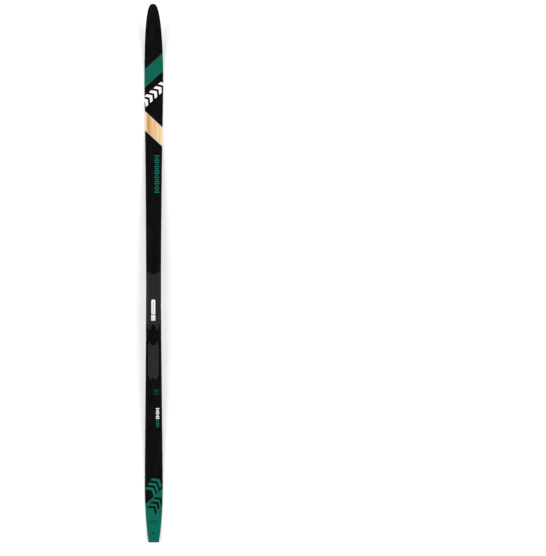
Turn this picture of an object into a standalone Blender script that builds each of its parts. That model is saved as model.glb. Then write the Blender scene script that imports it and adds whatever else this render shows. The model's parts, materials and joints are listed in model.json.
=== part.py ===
"""A cross country ski with its two-part binding plate, built layer by layer as it is pressed.

The ski lies along Y with its tip at +Y, X runs across it and +Z is up. It stands as on a floor:
the two contact zones of the base are at z = 0 and the camber arches the middle between them.
A station is a distance from the tip, and a height is measured from the base, square to it.
All sizes are in metres.
"""

import math

import bmesh
import bpy
import numpy as np
from mathutils import Matrix, Vector

# Outline, seen from above. The middle is half way between the tip and the tail end.
LENGTH = 1.850
SHOVEL_WIDTH = 0.0650
WAIST_WIDTH = 0.0515
TAIL_WIDTH = 0.0621
TAIL_END_WIDTH = 0.0364
NOSE_FLAT_WIDTH = 0.006
SHOVEL_FROM_TIP = 0.252
WAIST_BEHIND_MIDDLE = 0.050
TAIL_WIDEST_FROM_END = 0.201
NOSE_BLUNTNESS = 3.0
NOSE_TAPER = 2.1
TAIL_TAPER = 2.2
# Sidecut: share of the way from the waist, and share of the flare reached there
FRONT_SIDECUT = ((0, 0), (0.2, 0.10), (0.4, 0.24), (0.6, 0.445), (0.8, 0.73), (0.9, 0.905), (1, 1))
REAR_SIDECUT = ((0, 0), (0.13, 0.065), (0.36, 0.30), (0.59, 0.555), (0.81, 0.83), (0.92, 0.935), (1, 1))

# Side profile
CAMBER = 0.025
TIP_RISE = 0.098
TAIL_RISE = 0.012
FRONT_CONTACT_FROM_TIP = 0.295
REAR_CONTACT_FROM_END = 0.110
CONTACT_FLAT = 0.030
TIP_THICKNESS = 0.0058
FRONT_CONTACT_THICKNESS = 0.0080
WAIST_THICKNESS = 0.0240
REAR_CONTACT_THICKNESS = 0.0076
TAIL_THICKNESS = 0.0062
THICK_ZONE_START_BEHIND_MIDDLE = 0.035
THICK_ZONE_END_BEHIND_MIDDLE = 0.255

# Layers, from the base up, and the clearance between neighbours
CLEARANCE = 0.0003
BASE_THICKNESS = 0.0014
BASE_LAMINATE_THICKNESS = 0.0006
BASE_LAMINATE_INSET = 0.0002
CAP_LAMINATE_THICKNESS = 0.0006
TOPSHEET_THICKNESS = 0.0005
REINFORCEMENT_THICKNESS = 0.0010
SIDE_RUN_THIN = 0.0018
SIDE_RUN_THICK = 0.0026
SIDE_LIP = 0.0010
CAP_CORNER = 0.0008

# Groove in the base
GROOVE_WIDTH = 0.0090
GROOVE_DEPTH = 0.0009
GROOVE_WALL_RUN = 0.0008
GROOVE_FROM_TIP = 0.215
GROOVE_FROM_END = 0.045
GROOVE_FADE = 0.025

# Core and fillers
TIP_SPACER_FROM_TIP = 0.004
CORE_FROM_TIP = 0.150
CORE_FROM_END = 0.148
TAIL_SPACER_FROM_END = 0.006
STRINGER_TOP_WIDTH = 0.0060
REINFORCEMENT_BEYOND_PLATES = 0.020
TAIL_GUARD_THICKNESS = 0.0016

# Binding plate: places are behind the middle
FRONT_PLATE_BEHIND_MIDDLE = -0.005
FRONT_PLATE_LENGTH = 0.1955
FRONT_PLATE_WIDTH = 0.0430
REAR_PLATE_BEHIND_MIDDLE = 0.2305
REAR_PLATE_LENGTH = 0.1341
REAR_PLATE_WIDTH = 0.0360
PLATE_THICKNESS = 0.0042
PLATE_FLANGE = 0.0016
BOND_THICKNESS = 0.0005
BOND_MARGIN = 0.0025
BOND_END_MARGIN = 0.0195
RAIL_WIDTH = 0.0046
RAIL_INSET = 0.0019
CHANNEL_DEPTH = 0.0016
CENTRE_RIDGE_WIDTH = 0.0068
CENTRE_CHANNEL_WIDTH = 0.0050
CENTRE_CHANNEL_START = 0.0110
GRIP_BARS_FROM_LABEL = (0.0060, 0.0110)
GRIP_BAR_WIDTH = 0.0020
CHANNEL_END_FROM_LABEL = 0.0135
FRONT_NOTCH_WIDTH = 0.0160
FRONT_NOTCH_DEPTH = 0.0067
REAR_NOTCH_DEPTH = 0.0169
REAR_NOTCH_MOUTH = 0.0180
REAR_NOTCH_FLOOR = 0.0100
PLATE_TAPER_LENGTH = 0.0250
HEEL_RAIL_WIDTH = 0.0031
HEEL_RAIL_INSET = 0.0014
HEEL_LINE_WIDTH = 0.0011
HEEL_CENTRE_WIDTH = 0.0108
LINE_DEPTH = 0.0010

# Labels on the front plate, placed from its rear end
LABEL_THICKNESS = 0.0005
LABEL_GAP = 0.00045
LABEL_RIM = 0.00405
LABEL_FROM_NOTCH = 0.0140
LABEL_SPACING = 0.0026
SIZE_LABEL_WIDTH = 0.0140
SIZE_LABEL_LENGTH = 0.0198
SIZE_LABEL_CORNER = 0.0010
SCALE_LABEL_WIDTH = 0.0135
SCALE_LABEL_LENGTH = 0.0497
SCALE_LABEL_CORNER = 0.0042

MIDDLE = LENGTH / 2
BODY_END = LENGTH - TAIL_GUARD_THICKNESS - CLEARANCE
LAMINATE_BOTTOM = BASE_THICKNESS + CLEARANCE
CAP_FOOT = LAMINATE_BOTTOM + BASE_LAMINATE_THICKNESS + CLEARANCE
CAP_LAMINATE_INSET = TOPSHEET_THICKNESS + CLEARANCE
CORE_INSET = CAP_LAMINATE_INSET + CAP_LAMINATE_THICKNESS + CLEARANCE
FRONT_PLATE_START = MIDDLE + FRONT_PLATE_BEHIND_MIDDLE
FRONT_PLATE_END = FRONT_PLATE_START + FRONT_PLATE_LENGTH
REAR_PLATE_START = MIDDLE + REAR_PLATE_BEHIND_MIDDLE
REAR_PLATE_END = REAR_PLATE_START + REAR_PLATE_LENGTH
REINFORCEMENT_START = FRONT_PLATE_START - REINFORCEMENT_BEYOND_PLATES
REINFORCEMENT_END = REAR_PLATE_END + REINFORCEMENT_BEYOND_PLATES
CORE_END = LENGTH - CORE_FROM_END
SIZE_LABEL_FROM_PLATE_END = REAR_NOTCH_DEPTH + LABEL_FROM_NOTCH
SCALE_LABEL_FROM_PLATE_END = SIZE_LABEL_FROM_PLATE_END + SIZE_LABEL_LENGTH + LABEL_SPACING
SEAT_GAP = CLEARANCE + BOND_THICKNESS + CLEARANCE
ENDS_BLEND = 0.020
NOSE_STATIONS = 18


# ---------------------------------------------------------------- curves


def monotone_curve(knots):
    """A smooth curve through the knots that never overshoots them and is level at both ends."""
    x, y = np.array(knots, float).T
    slope = np.diff(y) / np.diff(x)
    tangent = np.zeros(len(x))
    for i in range(1, len(x) - 1):
        if slope[i - 1] * slope[i] > 0:
            tangent[i] = 2 * slope[i - 1] * slope[i] / (slope[i - 1] + slope[i])

    def at(value):
        i = int(np.clip(np.searchsorted(x, value) - 1, 0, len(x) - 2))
        step = x[i + 1] - x[i]
        t = min(max((value - x[i]) / step, 0.0), 1.0)
        rise = 3 * t**2 - 2 * t**3
        start = t * (1 - t) ** 2 * step * tangent[i]
        end = t**2 * (1 - t) * step * tangent[i + 1]
        return float(y[i] + (y[i + 1] - y[i]) * rise + start - end)

    return at


def outline_points():
    """Stations and half widths along one edge, from the nose to the tail end."""
    waist = MIDDLE + WAIST_BEHIND_MIDDLE
    tail = LENGTH - TAIL_WIDEST_FROM_END
    across = np.linspace(NOSE_FLAT_WIDTH / SHOVEL_WIDTH, 1, 240)
    along = SHOVEL_FROM_TIP * (1 - (1 - across**NOSE_BLUNTNESS) ** (1 / NOSE_TAPER))
    points = list(zip(along - along[0] * (1 - along / along[-1]), across * SHOVEL_WIDTH / 2))
    knots = [
        (waist - u * (waist - SHOVEL_FROM_TIP), WAIST_WIDTH + f * (SHOVEL_WIDTH - WAIST_WIDTH))
        for u, f in reversed(FRONT_SIDECUT)
    ]
    knots += [
        (waist + u * (tail - waist), WAIST_WIDTH + f * (TAIL_WIDTH - WAIST_WIDTH))
        for u, f in REAR_SIDECUT[1:]
    ]
    side = monotone_curve(knots)
    points += [(s, side(s) / 2) for s in np.linspace(SHOVEL_FROM_TIP, tail, 500)[1:]]
    for t in np.linspace(0, 1, 80)[1:]:
        width = TAIL_WIDTH - (TAIL_WIDTH - TAIL_END_WIDTH) * t**TAIL_TAPER
        points.append((tail + t * TAIL_WIDEST_FROM_END, width / 2))
    return np.array(points)


OUTLINE = outline_points()
ALONG_EDGE = np.gradient(OUTLINE, axis=0)
ALONG_EDGE /= np.linalg.norm(ALONG_EDGE, axis=1)[:, None]
INWARD = np.column_stack((ALONG_EDGE[:, 1], -ALONG_EDGE[:, 0]))


def half_width(station, inset=0.0):
    """Half the ski's width at a station, on an outline moved inwards by the inset."""
    edge = OUTLINE + inset * INWARD
    return float(np.interp(station, edge[:, 0], edge[:, 1]))


def ease(t):
    return 3 * t**2 - 2 * t**3


def thickness(station):
    knots = (
        (0, TIP_THICKNESS),
        (FRONT_CONTACT_FROM_TIP, FRONT_CONTACT_THICKNESS),
        (MIDDLE + THICK_ZONE_START_BEHIND_MIDDLE, WAIST_THICKNESS),
        (MIDDLE + THICK_ZONE_END_BEHIND_MIDDLE, WAIST_THICKNESS),
        (LENGTH - REAR_CONTACT_FROM_END, REAR_CONTACT_THICKNESS),
        (LENGTH, TAIL_THICKNESS),
    )
    for (s0, t0), (s1, t1) in zip(knots, knots[1:]):
        if station <= s1:
            return t0 + (t1 - t0) * ease((station - s0) / (s1 - s0))
    return TAIL_THICKNESS


def base_height(station):
    """Height of the base over the floor: turned-up tip, camber arch, raised tail."""
    front = FRONT_CONTACT_FROM_TIP
    rear = LENGTH - REAR_CONTACT_FROM_END
    if station < front:
        t = 1 - station / front
        return TIP_RISE * (2 * t**3 - t**4)
    if station > rear:
        return TAIL_RISE * ((station - rear) / REAR_CONTACT_FROM_END) ** 2
    arch_start, arch_end = front + CONTACT_FLAT, rear - CONTACT_FLAT
    u = min(max((station - arch_start) / (arch_end - arch_start), 0.0), 1.0)
    return 16 * CAMBER * (u * (1 - u)) ** 2


def place(station, x, height):
    """The point at this station, across and over the base, square to the base."""
    step = 1e-5
    slope = (base_height(station + step) - base_height(station - step)) / (2 * step)
    length = math.hypot(1, slope)
    y = MIDDLE - station + height * slope / length
    return Vector((x, y, base_height(station) + height / length))


# ---------------------------------------------------------------- stations


def all_stations():
    nose = [CORE_FROM_TIP * (i / NOSE_STATIONS) ** 2.0 for i in range(NOSE_STATIONS)]
    rear_contact = LENGTH - REAR_CONTACT_FROM_END
    front_flat = FRONT_CONTACT_FROM_TIP + CONTACT_FLAT
    found = nose + list(np.linspace(CORE_FROM_TIP + 0.013, FRONT_CONTACT_FROM_TIP, 11))
    found += list(np.linspace(front_flat, rear_contact - CONTACT_FLAT, 32))
    found += list(np.linspace(rear_contact, BODY_END, 11))
    ends = [TIP_SPACER_FROM_TIP, LENGTH - TAIL_SPACER_FROM_END]
    for joint in (CORE_FROM_TIP, CORE_END, REINFORCEMENT_START, REINFORCEMENT_END):
        ends += [joint - CLEARANCE, joint, joint + CLEARANCE]
    for fade_start in (GROOVE_FROM_TIP, LENGTH - GROOVE_FROM_END - GROOVE_FADE):
        ends += [fade_start, fade_start + GROOVE_FADE]
    far = [s for s in found if min(abs(s - e) for e in ends) > 0.002 or s in (0, BODY_END)]
    return sorted(far + ends)


STATIONS = all_stations()


def span(start, end):
    return [s for s in STATIONS if start - 1e-7 <= s <= end + 1e-7]


def pulled_in(station, inset):
    """The station of a layer that lies the inset inside the nose and the tail end."""
    nose = max(0.0, 1 - station / ENDS_BLEND)
    tail = max(0.0, 1 - (BODY_END - station) / ENDS_BLEND)
    return station + inset * (nose - tail)


# ---------------------------------------------------------------- cross-sections


def mirrored(right_half):
    """A closed section from its right half, which runs from the bottom up to the middle."""
    return list(right_half) + [(-x, h) for x, h in reversed(right_half)]


def cap_half(station, inset, foot, top=None):
    """Right half of the cap's section: a short upright lip, a sloping side and a round corner."""
    half = half_width(station, inset)
    share = thickness(station) / WAIST_THICKNESS
    run = min(SIDE_RUN_THIN + (SIDE_RUN_THICK - SIDE_RUN_THIN) * share, 0.4 * half)
    full = thickness(station) - inset
    corner = min(CAP_CORNER, 0.2 * half, 0.3 * (full - CAP_FOOT))
    lip = CAP_FOOT + min(SIDE_LIP, 0.25 * (full - CAP_FOOT))
    shoulder = full - corner
    top = full if top is None else min(top, full)
    slope = run / (shoulder - lip)
    side = half - slope * (top - corner - lip)
    soft = 0.3 * corner
    return [
        (half, foot),
        (half, lip),
        (side, top - corner),
        (side - soft, top - soft),
        (side - corner, top),
    ]


def core_top(station):
    """Top of the core, which is lower where the reinforcement lies on it."""
    top = thickness(station) - CORE_INSET
    if REINFORCEMENT_START <= station <= REINFORCEMENT_END:
        top -= REINFORCEMENT_THICKNESS + CLEARANCE
    return top


def stringer_edge(station):
    """Where the stringers meet the middle block of the core."""
    top = thickness(station) - CORE_INSET - REINFORCEMENT_THICKNESS - CLEARANCE
    return cap_half(station, CORE_INSET, CAP_FOOT, top)[-1][0] - STRINGER_TOP_WIDTH


# ---------------------------------------------------------------- building


def srgb(red, green, blue):
    """8-bit screen colour to the linear colour that a shader takes."""
    return [((c / 255 + 0.055) / 1.055) ** 2.4 if c > 10 else c / 255 / 12.92 for c in (red, green, blue)]


def plain_material(name, colour, roughness, metallic=0.0):
    material = bpy.data.materials.new(name)
    material.use_nodes = True
    shader = material.node_tree.nodes["Principled BSDF"]
    shader.inputs["Base Color"].default_value = (*colour, 1)
    shader.inputs["Roughness"].default_value = roughness
    shader.inputs["Metallic"].default_value = metallic
    material.diffuse_color = (*colour, 1)
    return material


def finished(name, bm, material=None):
    """An object from the bmesh, with its faces pointing out and its round stretches smooth."""
    bmesh.ops.recalc_face_normals(bm, faces=bm.faces)
    mesh = bpy.data.meshes.new(name)
    bm.to_mesh(mesh)
    bm.free()
    mesh.shade_smooth()
    mesh.set_sharp_from_angle(angle=math.radians(25))
    obj = bpy.data.objects.new(name, mesh)
    if material:
        mesh.materials.append(material)
    bpy.context.scene.collection.objects.link(obj)
    return obj


def skin(bm, rings, closed, split=False):
    """Quads between neighbouring rings. Those of a bent layer are split along the shorter diagonal,
    so that a layer and its neighbour, which run side by side, turn their faces the same way."""
    for near, far in zip(rings, rings[1:]):
        for i in range(len(near) if closed else len(near) - 1):
            j = (i + 1) % len(near)
            a, b, c, d = near[i], near[j], far[j], far[i]
            if not split:
                bm.faces.new((a, b, c, d))
            elif (a.co - c.co).length < (b.co - d.co).length:
                bm.faces.new((a, b, c))
                bm.faces.new((a, c, d))
            else:
                bm.faces.new((a, b, d))
                bm.faces.new((b, c, d))


def solid(name, material, stations, section):
    """A layer lofted through section(station), a closed list of (x, height), with flat ends."""
    bm = bmesh.new()
    rings = [[bm.verts.new(place(s, x, h)) for x, h in section(s)] for s in stations]
    skin(bm, rings, closed=True, split=True)
    bm.faces.new(rings[0])
    bm.faces.new(rings[-1])
    return finished(name, bm, material)


def cap_shell(name, material, inset, wall):
    """A cap open underneath: top, sloping sides and both ends, with an even wall."""
    bm = bmesh.new()
    surfaces = []
    for depth in (inset, inset + wall):
        rings = []
        for station in STATIONS:
            s = pulled_in(station, depth)
            section = mirrored(cap_half(s, depth, CAP_FOOT))
            rings.append([bm.verts.new(place(s, x, h)) for x, h in section])
        skin(bm, rings, closed=False, split=True)
        bm.faces.new(rings[0])
        bm.faces.new(rings[-1])
        surfaces.append(rings)
    outer, inner = surfaces
    for side in (0, -1):
        for i in range(len(outer) - 1):
            bm.faces.new((outer[i][side], outer[i + 1][side], inner[i + 1][side], inner[i][side]))
    for end in (0, -1):
        bm.faces.new((outer[end][0], outer[end][-1], inner[end][-1], inner[end][0]))
    return finished(name, bm, material)


# ---------------------------------------------------------------- the pressed ski


def groove_depth(station):
    start = (station - GROOVE_FROM_TIP) / GROOVE_FADE
    end = (LENGTH - GROOVE_FROM_END - station) / GROOVE_FADE
    return GROOVE_DEPTH * ease(min(max(min(start, end), 0.0), 1.0))


def running_base():
    """Polyethylene sole with a straight guiding groove along the middle."""

    def section(s):
        half = half_width(s)
        mouth = min(GROOVE_WIDTH / 2, 0.6 * half)
        floor = mouth - min(GROOVE_WALL_RUN, 0.2 * half)
        depth = groove_depth(s)
        return mirrored([(floor, depth), (mouth, 0), (half, 0), (half, BASE_THICKNESS)])

    return solid("running_base", plain_material("base_black", srgb(24, 24, 26), 0.35), STATIONS, section)


def base_laminate():
    """Glass fibre layer that stiffens the ski under the core."""

    def section(s):
        half = half_width(s, BASE_LAMINATE_INSET)
        return mirrored([(half, LAMINATE_BOTTOM), (half, LAMINATE_BOTTOM + BASE_LAMINATE_THICKNESS)])

    stations = [pulled_in(s, BASE_LAMINATE_INSET) for s in STATIONS]
    return solid("base_laminate", plain_material("glass_fibre", srgb(150, 150, 110), 0.5), stations, section)


def spacer(name, stations):
    """Thin filler that closes the ski in front of the core, or behind it."""

    def section(s):
        return mirrored(cap_half(s, CORE_INSET, CAP_FOOT))

    stations = [pulled_in(s, CORE_INSET) for s in stations]
    return solid(name, plain_material(name, srgb(60, 60, 62), 0.6), stations, section)


def core_block(stations):
    """Honeycomb block in the middle of the core."""

    def section(s):
        edge = stringer_edge(s) - CLEARANCE / 2
        return mirrored([(edge, CAP_FOOT), (edge, core_top(s))])

    return solid("core_block", plain_material("honeycomb", srgb(176, 140, 92), 0.8), stations, section)


def core_stringer(name, side, stations):
    """Wooden strip along one side of the core."""

    def section(s):
        edge = stringer_edge(s) + CLEARANCE / 2
        points = [(edge, CAP_FOOT), *cap_half(s, CORE_INSET, CAP_FOOT, core_top(s)), (edge, core_top(s))]
        return [(side * x, h) for x, h in points]

    return solid(name, plain_material(name, srgb(196, 160, 112), 0.6), stations, section)


def binding_reinforcement(stations):
    """Laminate sheet pressed in over the core, under both binding plates."""

    def section(s):
        top = thickness(s) - CORE_INSET
        corner = cap_half(s, CORE_INSET, CAP_FOOT, top)
        under = cap_half(s, CORE_INSET, CAP_FOOT, top - REINFORCEMENT_THICKNESS)[2][0]
        return mirrored([(under, top - REINFORCEMENT_THICKNESS), *corner[2:]])

    colour = srgb(120, 88, 48)
    return solid("binding_reinforcement", plain_material("phenolic", colour, 0.5), stations, section)


def tail_guard():
    """Thin moulded strip that closes the square-cut tail end."""

    def section(s):
        return mirrored(cap_half(s, 0, 0))

    material = plain_material("guard_black", srgb(14, 14, 14), 0.4)
    return solid("tail_guard", material, (LENGTH - TAIL_GUARD_THICKNESS, LENGTH), section)


# ---------------------------------------------------------------- the binding plate


class Seat:
    """The place of a plate on the ski's top: +Y towards the tip along the ski, +Z off the ski."""

    def __init__(self, start, end):
        front = place(start, 0, thickness(start))
        rear = place(end, 0, thickness(end))
        along = (front - rear).normalized()
        up = Vector((1, 0, 0)).cross(along)
        across = Vector((1, 0, 0))
        self.start = start
        self.half = (front - rear).length / 2
        turn = Matrix((across, along, up)).transposed().to_4x4()
        self.matrix = Matrix.Translation((front + rear) / 2) @ turn
        inverse = self.matrix.inverted()
        reach = np.linspace(start - 0.02, end + 0.02, 60)
        local = [inverse @ place(s, 0, thickness(s)) for s in reversed(reach)]
        self.surface_y = [p.y for p in local]
        self.surface_z = [p.z for p in local]
        self.deck = max(self.surface_z) + SEAT_GAP + PLATE_THICKNESS

    def surface(self, y):
        return float(np.interp(y, self.surface_y, self.surface_z))

    def back(self, distance):
        """Local y at this distance behind the plate's front end."""
        return self.half - distance

    def loft(self, name, material, ys, section):
        """A solid through section(y), a closed list of local (x, z)."""
        bm = bmesh.new()
        rings = [[bm.verts.new((x, y, z)) for x, z in section(y)] for y in ys]
        skin(bm, rings, closed=True)
        bm.faces.new(rings[0])
        bm.faces.new(rings[-1])
        obj = finished(name, bm, material)
        obj.matrix_world = self.matrix
        return obj

    def prisms(self, name, outlines, material=None):
        """Upright prisms in one object, from (outline, bottom, top) each."""
        bm = bmesh.new()
        for outline, bottom, top in outlines:
            low = [bm.verts.new((x, y, bottom)) for x, y in outline]
            high = [bm.verts.new((x, y, top)) for x, y in outline]
            skin(bm, [low, high], closed=True)
            bm.faces.new(low)
            bm.faces.new(high)
        obj = finished(name, bm, material)
        obj.matrix_world = self.matrix
        return obj

    def cut(self, target, cutter, operation):
        cutter.hide_render = True
        cutter.display_type = "WIRE"
        modifier = target.modifiers.new(cutter.name, "BOOLEAN")
        modifier.operation = operation
        modifier.object = cutter


def rounded_front(width, rear, front, corner):
    """Outline of a label from its rear edge to its front edge, with round front corners."""
    right = [(width / 2, rear)]
    for i in range(5):
        angle = math.radians(22.5 * i)
        x = width / 2 - corner * (1 - math.cos(angle))
        right.append((x, front - corner * (1 - math.sin(angle))))
    return right + [(-x, y) for x, y in reversed(right)]


def bond(name, seat, width, length):
    """Adhesive film between the ski's top and a plate."""
    half = width / 2 - BOND_MARGIN

    def section(y):
        low = seat.surface(y) + CLEARANCE
        return mirrored([(half, low), (half, low + BOND_THICKNESS)])

    reach = length / 2 - BOND_END_MARGIN
    material = plain_material(name, srgb(10, 10, 10), 0.7)
    return seat.loft(name, material, np.linspace(-reach, reach, 7), section)


def grooved_blank(name, seat, material, width, ribs, depth):
    """A plate before its ends are cut: a thin flange and a deck with lengthwise grooves.

    Each rib is (inner edge, outer edge) on the right of the middle, from the outside in."""
    foot = width / 2 + 0.003

    def section(y):
        bottom = seat.surface(y) + SEAT_GAP
        flange = bottom + PLATE_FLANGE
        wall = ribs[0][1] + 0.0009
        half = [(foot, bottom), (foot, flange), (wall + 0.0004, flange), (wall, seat.deck - 0.0009)]
        for i, (inner, outer) in enumerate(ribs):
            if i:
                half.append((outer + 0.0003, seat.deck - depth))
            half += [(outer, seat.deck), (inner, seat.deck)]
            if i < len(ribs) - 1:
                half.append((inner - 0.0003, seat.deck - depth))
        return mirrored(half)

    reach = seat.half + 0.003
    return seat.loft(name, material, np.linspace(-reach, reach, 9), section)


def front_plate(seat):
    """Moulded plate that the binding slides on to, with a seat for each label."""
    plastic = plain_material("plate_grey", srgb(38, 38, 38), 0.45)
    half, front, rear = FRONT_PLATE_WIDTH / 2, seat.half, -seat.half
    rail = half - RAIL_INSET
    ribs = ((rail - RAIL_WIDTH, rail), (0.0, SCALE_LABEL_WIDTH / 2 + LABEL_RIM))
    plate = grooved_blank("front_plate", seat, plastic, FRONT_PLATE_WIDTH, ribs, CHANNEL_DEPTH)
    right = [
        (FRONT_NOTCH_WIDTH / 2, front - FRONT_NOTCH_DEPTH),
        (FRONT_NOTCH_WIDTH / 2, front),
        (half - 0.0015, front),
        (half, front - 0.0015),
        (half, rear + PLATE_TAPER_LENGTH),
        (half - 0.0035, rear + 0.002),
        (half - 0.0055, rear),
        (REAR_NOTCH_MOUTH / 2, rear),
        (REAR_NOTCH_FLOOR / 2, rear + REAR_NOTCH_DEPTH),
    ]
    shape = seat.prisms("front_plate_outline", [(mirrored(right), -0.01, 0.02)])
    seat.cut(plate, shape, "INTERSECT")
    floor, over = seat.deck - CHANNEL_DEPTH, seat.deck + 0.002
    cuts = []
    label_front = rear + SCALE_LABEL_FROM_PLATE_END + SCALE_LABEL_LENGTH
    inner, outer = CENTRE_RIDGE_WIDTH / 2, CENTRE_RIDGE_WIDTH / 2 + CENTRE_CHANNEL_WIDTH
    low, high = label_front + CHANNEL_END_FROM_LABEL, front - CENTRE_CHANNEL_START
    for side in (-1, 1):
        channel = ((inner, low), (outer, low), (outer, high), (inner, high))
        cuts.append(([(side * x, y) for x, y in channel], floor, over))
    for from_label in GRIP_BARS_FROM_LABEL:
        low = label_front + from_label - GRIP_BAR_WIDTH / 2
        high = low + GRIP_BAR_WIDTH
        bar = [(-outer, low), (outer, low), (outer, high), (-outer, high)]
        cuts.append((bar, seat.deck - LINE_DEPTH, over))
    seat_floor = seat.deck - LABEL_THICKNESS - CLEARANCE
    for width, length, from_end, corner in (
        (SCALE_LABEL_WIDTH, SCALE_LABEL_LENGTH, SCALE_LABEL_FROM_PLATE_END, SCALE_LABEL_CORNER),
        (SIZE_LABEL_WIDTH, SIZE_LABEL_LENGTH, SIZE_LABEL_FROM_PLATE_END, SIZE_LABEL_CORNER),
    ):
        low = rear + from_end
        recess = rounded_front(width + 2 * LABEL_GAP, low - LABEL_GAP, low + length + LABEL_GAP, corner)
        cuts.append((recess, seat_floor, over))
    seat.cut(plate, seat.prisms("front_plate_recesses", cuts), "DIFFERENCE")
    return plate


def rear_plate(seat):
    """Moulded heel plate, with horned ends and four lengthwise lines."""
    plastic = plain_material("heel_plate_grey", srgb(38, 38, 38), 0.45)
    half, front, rear = REAR_PLATE_WIDTH / 2, seat.half, -seat.half
    rail = half - HEEL_RAIL_INSET
    second = rail - HEEL_RAIL_WIDTH - HEEL_LINE_WIDTH
    centre = HEEL_CENTRE_WIDTH / 2
    ribs = ((rail - HEEL_RAIL_WIDTH, rail), (centre + HEEL_LINE_WIDTH, second), (0.0, centre))
    plate = grooved_blank("rear_plate", seat, plastic, REAR_PLATE_WIDTH, ribs, LINE_DEPTH)
    right = [
        (0.0065, front - 0.0127),
        (half - 0.0062, front),
        (half - 0.0048, front),
        (half, front - 0.0117),
        (half, rear + 0.0196),
        (half - 0.0036, rear + 0.0086),
        (half - 0.0068, rear),
        (half - 0.0082, rear),
        (0.0063, rear + 0.0052),
        (0.0034, rear + 0.0086),
    ]
    shape = seat.prisms("rear_plate_outline", [(mirrored(right), -0.01, 0.02)])
    seat.cut(plate, shape, "INTERSECT")
    return plate


def label(name, seat, width, length, corner, from_end):
    """Flat white label, flush with the plate's deck."""
    low = from_end - seat.half
    outline = rounded_front(width, low, low + length, corner)
    white = plain_material(name, srgb(246, 246, 246), 0.4)
    return seat.prisms(name, [(outline, seat.deck - LABEL_THICKNESS, seat.deck)], white)


# ---------------------------------------------------------------- the whole ski


for old in list(bpy.data.objects):
    bpy.data.objects.remove(old)

running_base()
base_laminate()
spacer("tip_spacer", span(TIP_SPACER_FROM_TIP, CORE_FROM_TIP - CLEARANCE))
core_stations = span(CORE_FROM_TIP, CORE_END)
core_block(core_stations)
core_stringer("core_stringer_left", -1, core_stations)
core_stringer("core_stringer_right", 1, core_stations)
binding_reinforcement(span(REINFORCEMENT_START + CLEARANCE, REINFORCEMENT_END - CLEARANCE))
spacer("tail_spacer", span(CORE_END + CLEARANCE, LENGTH - TAIL_SPACER_FROM_END))
cap_material = plain_material("cap_fibre", srgb(70, 70, 66), 0.5)
cap_shell("cap_laminate", cap_material, CAP_LAMINATE_INSET, CAP_LAMINATE_THICKNESS)
cap_shell("topsheet", plain_material("topsheet_print", srgb(21, 20, 20), 0.3), 0, TOPSHEET_THICKNESS)
tail_guard()

front_seat = Seat(FRONT_PLATE_START, FRONT_PLATE_END)
rear_seat = Seat(REAR_PLATE_START, REAR_PLATE_END)
bond("front_plate_bond", front_seat, FRONT_PLATE_WIDTH, FRONT_PLATE_LENGTH)
bond("rear_plate_bond", rear_seat, REAR_PLATE_WIDTH, REAR_PLATE_LENGTH)
front_plate(front_seat)
rear_plate(rear_seat)
scale_size = (SCALE_LABEL_WIDTH, SCALE_LABEL_LENGTH, SCALE_LABEL_CORNER)
size_size = (SIZE_LABEL_WIDTH, SIZE_LABEL_LENGTH, SIZE_LABEL_CORNER)
label("scale_label", front_seat, *scale_size, SCALE_LABEL_FROM_PLATE_END)
label("size_label", front_seat, *size_size, SIZE_LABEL_FROM_PLATE_END)
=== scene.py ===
"""The looks of a cross country ski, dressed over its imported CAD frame.

The ski lies along Y with its tip at +Y and stands on its two contact zones at z = 0. Sizes are in
metres, and a station is a distance back from the tip.
"""
import json
import math

import bpy
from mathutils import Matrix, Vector

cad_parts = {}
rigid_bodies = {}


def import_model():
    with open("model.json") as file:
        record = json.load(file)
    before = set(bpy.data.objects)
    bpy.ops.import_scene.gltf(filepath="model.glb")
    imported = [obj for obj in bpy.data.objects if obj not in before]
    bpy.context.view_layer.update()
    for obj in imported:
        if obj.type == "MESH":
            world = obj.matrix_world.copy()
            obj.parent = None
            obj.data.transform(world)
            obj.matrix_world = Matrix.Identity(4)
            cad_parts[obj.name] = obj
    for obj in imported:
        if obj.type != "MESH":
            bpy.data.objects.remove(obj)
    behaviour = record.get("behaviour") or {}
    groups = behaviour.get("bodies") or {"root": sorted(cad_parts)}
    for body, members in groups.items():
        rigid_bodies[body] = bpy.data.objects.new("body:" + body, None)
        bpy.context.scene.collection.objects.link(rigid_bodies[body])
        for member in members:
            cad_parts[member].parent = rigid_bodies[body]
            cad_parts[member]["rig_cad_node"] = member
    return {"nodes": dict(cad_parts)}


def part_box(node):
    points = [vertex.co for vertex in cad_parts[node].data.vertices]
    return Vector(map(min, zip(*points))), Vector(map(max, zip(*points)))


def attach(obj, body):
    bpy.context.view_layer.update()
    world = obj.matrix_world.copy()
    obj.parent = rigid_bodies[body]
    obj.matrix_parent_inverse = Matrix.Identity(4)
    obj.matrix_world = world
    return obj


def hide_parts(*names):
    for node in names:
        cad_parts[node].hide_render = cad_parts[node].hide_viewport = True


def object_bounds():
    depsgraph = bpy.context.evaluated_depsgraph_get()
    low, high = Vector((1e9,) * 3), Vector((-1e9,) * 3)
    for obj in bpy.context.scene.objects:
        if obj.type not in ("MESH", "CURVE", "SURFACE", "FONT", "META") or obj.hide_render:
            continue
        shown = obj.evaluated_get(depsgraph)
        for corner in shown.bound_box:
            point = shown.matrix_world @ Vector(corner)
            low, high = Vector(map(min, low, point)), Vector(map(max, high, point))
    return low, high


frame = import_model()
cad_low, cad_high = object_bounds()
tip_y = cad_high.y

# ---------------------------------------------------------------- Running base
# A strip of black sintered polyethylene with one guide groove. It is glued to the underside, then
# ground on a turning stone, which leaves fine lengthwise lines with a few slanted ones over them.


def take(piece):
    """Makes the piece the active one, and the only one selected."""
    bpy.ops.object.select_all(action="DESELECT")
    piece.select_set(True)
    bpy.context.view_layer.objects.active = piece


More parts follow.
